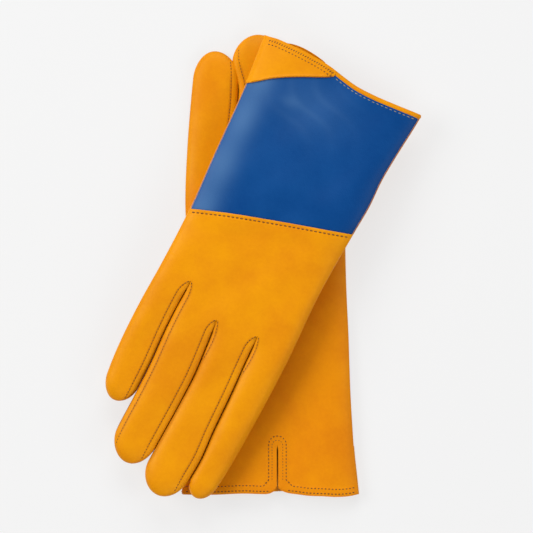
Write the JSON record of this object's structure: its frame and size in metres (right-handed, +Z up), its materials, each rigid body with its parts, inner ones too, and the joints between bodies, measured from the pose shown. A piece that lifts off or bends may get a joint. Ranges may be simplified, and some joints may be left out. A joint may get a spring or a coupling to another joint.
{
  "type": "leather gauntlet gloves",
  "caption": "Pair of smooth yellow leather gauntlet gloves with blue gauntlet backs, one palm up and one back up laid across it, with separate stalls for each finger and thumb.",
  "frame": {"origin": "on the surface that the pair lies on, under the lower glove's centre line at half its length", "axes": "+Y from the lower glove's hem to its fingertips, +Z up from the surface, +X to the right seen from above with the fingertips away from the viewer"},
  "size_m": [0.1755, 0.2579, 0.0294],
  "materials": {
    "yellow_leather": "smooth grain, semi-matt",
    "blue_leather": "smooth grain, satin"
  },
  "bodies": {
    "left_glove": {"left_corner_patch": "yellow_leather", "left_gauntlet_back": "blue_leather", "left_glove_index_side": "yellow_leather", "left_glove_little_side": "yellow_leather", "left_hand_back": "yellow_leather", "left_hem_binding": "yellow_leather", "left_palm": "yellow_leather", "left_vent_facing": "yellow_leather"},
    "left_index_finger": {"left_index_back": "yellow_leather", "left_index_edge": "yellow_leather", "left_index_fourchette_middle": "yellow_leather", "left_index_palm": "yellow_leather"},
    "left_little_finger": {"left_little_back": "yellow_leather", "left_little_edge": "yellow_leather", "left_little_fourchette_ring": "yellow_leather", "left_little_palm": "yellow_leather"},
    "left_middle_finger": {"left_middle_back": "yellow_leather", "left_middle_fourchette_index": "yellow_leather", "left_middle_fourchette_ring": "yellow_leather", "left_middle_palm": "yellow_leather"},
    "left_ring_finger": {"left_ring_back": "yellow_leather", "left_ring_fourchette_little": "yellow_leather", "left_ring_fourchette_middle": "yellow_leather", "left_ring_palm": "yellow_leather"},
    "left_thumb": {"left_thumb_inner": "yellow_leather", "left_thumb_outer": "yellow_leather", "left_thumb_side": "yellow_leather"},
    "right_gauntlet": {"right_corner_patch": "yellow_leather", "right_gauntlet_back": "blue_leather", "right_gauntlet_index_side": "yellow_leather", "right_gauntlet_little_side": "yellow_leather", "right_gauntlet_palm": "yellow_leather", "right_hem_binding": "yellow_leather", "right_vent_facing": "yellow_leather"},
    "right_glove": {"right_hand_back": "yellow_leather", "right_hand_index_side": "yellow_leather", "right_hand_little_side": "yellow_leather", "right_hand_palm": "yellow_leather", "right_wrist_back": "blue_leather"},
    "right_index_finger": {"right_index_back": "yellow_leather", "right_index_edge": "yellow_leather", "right_index_fourchette_middle": "yellow_leather", "right_index_palm": "yellow_leather"},
    "right_little_finger": {"right_little_back": "yellow_leather", "right_little_edge": "yellow_leather", "right_little_fourchette_ring": "yellow_leather", "right_little_palm": "yellow_leather"},
    "right_middle_finger": {"right_middle_back": "yellow_leather", "right_middle_fourchette_index": "yellow_leather", "right_middle_fourchette_ring": "yellow_leather", "right_middle_palm": "yellow_leather"},
    "right_ring_finger": {"right_ring_back": "yellow_leather", "right_ring_fourchette_little": "yellow_leather", "right_ring_fourchette_middle": "yellow_leather", "right_ring_palm": "yellow_leather"},
    "right_thumb": {"right_thumb_inner": "yellow_leather", "right_thumb_outer": "yellow_leather", "right_thumb_side": "yellow_leather"}
  },
  "joints": [
    {"name": "right_glove_lift", "type": "slide", "parent": "left_glove", "child": "right_glove", "axis": [0, 0, 1], "range_m": [0, 0.15]},
    {"name": "right_gauntlet_bend", "type": "hinge", "parent": "right_glove", "child": "right_gauntlet", "pos_m": [0.0096, 0.0429, 0.0294], "axis": [0.8965, -0.4431, 0], "range_deg": [0, 60]},
    {"name": "right_index_bend", "type": "hinge", "parent": "right_glove", "child": "right_index_finger", "pos_m": [0.00375, -0.04568, 0.0294], "axis": [-0.8965, 0.4431, 0], "range_deg": [0, 75]},
    {"name": "right_middle_bend", "type": "hinge", "parent": "right_glove", "child": "right_middle_finger", "pos_m": [-0.01602, -0.03591, 0.0294], "axis": [-0.8965, 0.4431, 0], "range_deg": [0, 75]},
    {"name": "right_ring_bend", "type": "hinge", "parent": "right_glove", "child": "right_ring_finger", "pos_m": [-0.03727, -0.02541, 0.0294], "axis": [-0.8965, 0.4431, 0], "range_deg": [0, 75]},
    {"name": "right_little_bend", "type": "hinge", "parent": "right_glove", "child": "right_little_finger", "pos_m": [-0.05198, -0.00586, 0.0294], "axis": [-0.8965, 0.4431, 0], "range_deg": [0, 75]},
    {"name": "right_thumb_swing", "type": "hinge", "parent": "right_glove", "child": "right_thumb", "pos_m": [0.02831, 0.0108, 0.0126], "axis": [0, 0, 1], "range_deg": [0, 50]},
    {"name": "left_thumb_swing", "type": "hinge", "parent": "left_glove", "child": "left_thumb", "pos_m": [-0.031, -0.03651, 0.0098], "axis": [0, 0, 1], "range_deg": [0, 40]},
    {"name": "left_index_spread", "type": "hinge", "parent": "left_glove", "child": "left_index_finger", "pos_m": [-0.03265, 0.025, 0.0095], "axis": [0, 0, 1], "range_deg": [0, 7.5]},
    {"name": "left_middle_spread", "type": "hinge", "parent": "left_glove", "child": "left_middle_finger", "pos_m": [-0.00735, 0.025, 0.0095], "axis": [0, 0, 1], "range_deg": [0, 2.5]},
    {"name": "left_ring_spread", "type": "hinge", "parent": "left_glove", "child": "left_ring_finger", "pos_m": [0.01575, 0.025, 0.0095], "axis": [0, 0, 1], "range_deg": [-2.5, 0]},
    {"name": "left_little_spread", "type": "hinge", "parent": "left_glove", "child": "left_little_finger", "pos_m": [0.03575, 0.014, 0.0095], "axis": [0, 0, 1], "range_deg": [-7.5, 0]}
  ],
  "couplings": [
    {"joint": "left_middle_spread", "follows": "left_index_spread", "ratio": 0.33333},
    {"joint": "left_ring_spread", "follows": "left_index_spread", "ratio": -0.33333},
    {"joint": "left_little_spread", "follows": "left_index_spread", "ratio": -1}
  ]
}
